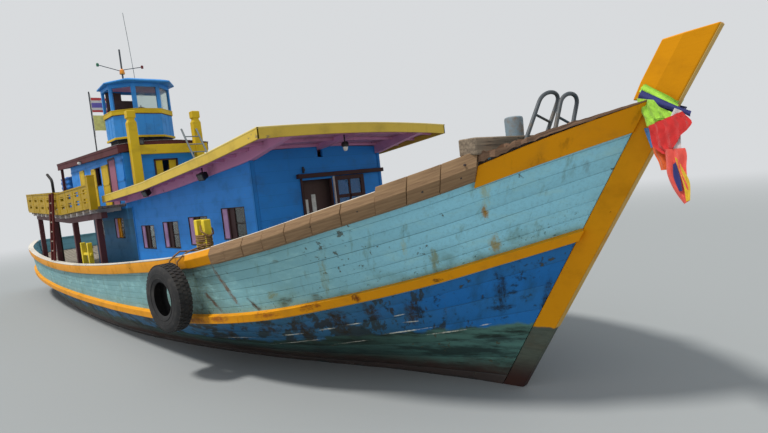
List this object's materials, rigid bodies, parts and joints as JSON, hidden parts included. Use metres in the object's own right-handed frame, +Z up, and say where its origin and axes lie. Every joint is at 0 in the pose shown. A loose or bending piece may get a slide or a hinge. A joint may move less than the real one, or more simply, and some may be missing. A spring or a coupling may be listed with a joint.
{
  "type": "wooden coastal passenger ferry boat, inboard engine, afloat",
  "caption": "Full wooden ferry hull with raked stem and tall prow, two plank deckhouses, wheelhouse, upper deck rails, turning propeller, rudder, doors and engine hatch.",
  "frame": {"origin": "on the centreline amidships at the floating waterline", "axes": "+X to the bow, +Y to port, +Z up"},
  "size_m": [25.124, 5.4367, 10.2008],
  "materials": {
    "topside_paint": "weathered turquoise oil paint on planks",
    "deck_wood": "grey weathered deck planks",
    "orange_paint": "orange-yellow oil paint on timber",
    "bottom_paint": "dark green antifouling",
    "bronze": "dull cast bronze",
    "painted_iron": "dark painted iron",
    "bare_timber": "worn brown timber",
    "blue_paint": "blue oil paint on boards",
    "brown_joinery": "dark red-brown paint",
    "yellow_paint": "mustard-yellow oil paint",
    "mauve_paint": "mauve-pink oil paint",
    "maroon_paint": "maroon-brown paint",
    "sky_paint": "light blue oil paint",
    "dark_timber": "blackened timber",
    "grey_steel": "grey painted steel tube",
    "sooty_steel": "black heat-stained steel",
    "blue_plastic": "moulded blue plastic",
    "fender_rubber": "worn black tyre rubber",
    "aluminium_tube": "dull aluminium",
    "flag_cloth": "thin flag cloth",
    "sash_cloth": "bright thin satin cloth in several colours"
  },
  "bodies": {
    "boat": {"hull": "topside_paint", "bulwark_port": "topside_paint", "bulwark_starboard": "topside_paint", "bulwark_stern": "topside_paint", "deck_fore": "deck_wood", "deck_aft": "deck_wood", "stem": "orange_paint", "keel": "bottom_paint", "engine": "painted_iron", "hatch_coaming": "bare_timber", "rub_rail_port": "orange_paint", "rub_rail_starboard": "orange_paint", "bow_strake_port": "orange_paint", "bow_strake_starboard": "orange_paint", "wale_port": "bare_timber", "wale_starboard": "bare_timber", "gunwale_port": "orange_paint", "gunwale_starboard": "orange_paint", "house_wall_port": "blue_paint", "house_wall_starboard": "blue_paint", "house_wall_front": "blue_paint", "house_wall_aft": "blue_paint", "front_roof": "yellow_paint", "upper_deck": "deck_wood", "side_frame_port": "brown_joinery", "side_frame_starboard": "brown_joinery", "balustrade_port": "yellow_paint", "balustrade_starboard": "yellow_paint", "balustrade_aft": "yellow_paint", "upper_wall_port": "blue_paint", "upper_wall_starboard": "blue_paint", "upper_wall_front": "blue_paint", "upper_wall_aft": "blue_paint", "upper_roof": "maroon_paint", "wheelhouse_walls": "sky_paint", "wheelhouse_floor": "dark_timber", "wheelhouse_roof": "sky_paint", "wheel_pedestal": "brown_joinery", "goalpost": "yellow_paint", "mast": "grey_steel", "exhaust_pipe": "sooty_steel", "water_tank_1": "blue_plastic", "water_tank_2": "blue_plastic", "bow_beam": "bare_timber", "bow_bollard": "grey_steel", "bow_hoops": "grey_steel", "bitt_starboard": "yellow_paint", "bitt_port": "yellow_paint", "tyre_fender": "fender_rubber", "side_ladder": "brown_joinery", "roof_ladder": "aluminium_tube", "flagpole": "grey_steel", "flags": "flag_cloth", "prow_sashes": "sash_cloth"},
    "propeller_set": {"propeller": "bronze"},
    "rudder_set": {"rudder": "painted_iron"},
    "helm": {"steering_wheel": "bare_timber"},
    "front_door_leaf": {"front_door": "brown_joinery"},
    "side_door_leaf": {"side_door": "mauve_paint"},
    "hatch": {"hatch_lid": "bare_timber"}
  },
  "joints": [
    {"name": "propeller_spin", "type": "hinge", "parent": "boat", "child": "propeller_set", "pos_m": [-10.28, 0, -0.78], "axis": [1, 0, 0], "continuous": true},
    {"name": "rudder_turn", "type": "hinge", "parent": "boat", "child": "rudder_set", "pos_m": [-11.05, 0, -0.7], "axis": [0, 0, 1], "range_deg": [-35, 35]},
    {"name": "helm_turn", "type": "hinge", "parent": "boat", "child": "helm", "pos_m": [-2.23, 0, 5.56], "axis": [1, 0, 0], "range_deg": [-540, 540]},
    {"name": "front_door_slide", "type": "slide", "parent": "boat", "child": "front_door_leaf", "axis": [0, -1, 0], "range_m": [0, 0.65]},
    {"name": "side_door_swing", "type": "hinge", "parent": "boat", "child": "side_door_leaf", "pos_m": [-1.636, -1.12, 3.6], "axis": [0, 0, 1], "range_deg": [0, 110]},
    {"name": "hatch_swing", "type": "hinge", "parent": "boat", "child": "hatch", "pos_m": [-5.05, 0.73, 1.03], "axis": [-1, 0, 0], "range_deg": [0, 95]}
  ],
  "couplings": [
    {"joint": "helm_turn", "follows": "rudder_turn", "ratio": 15.429}
  ]
}
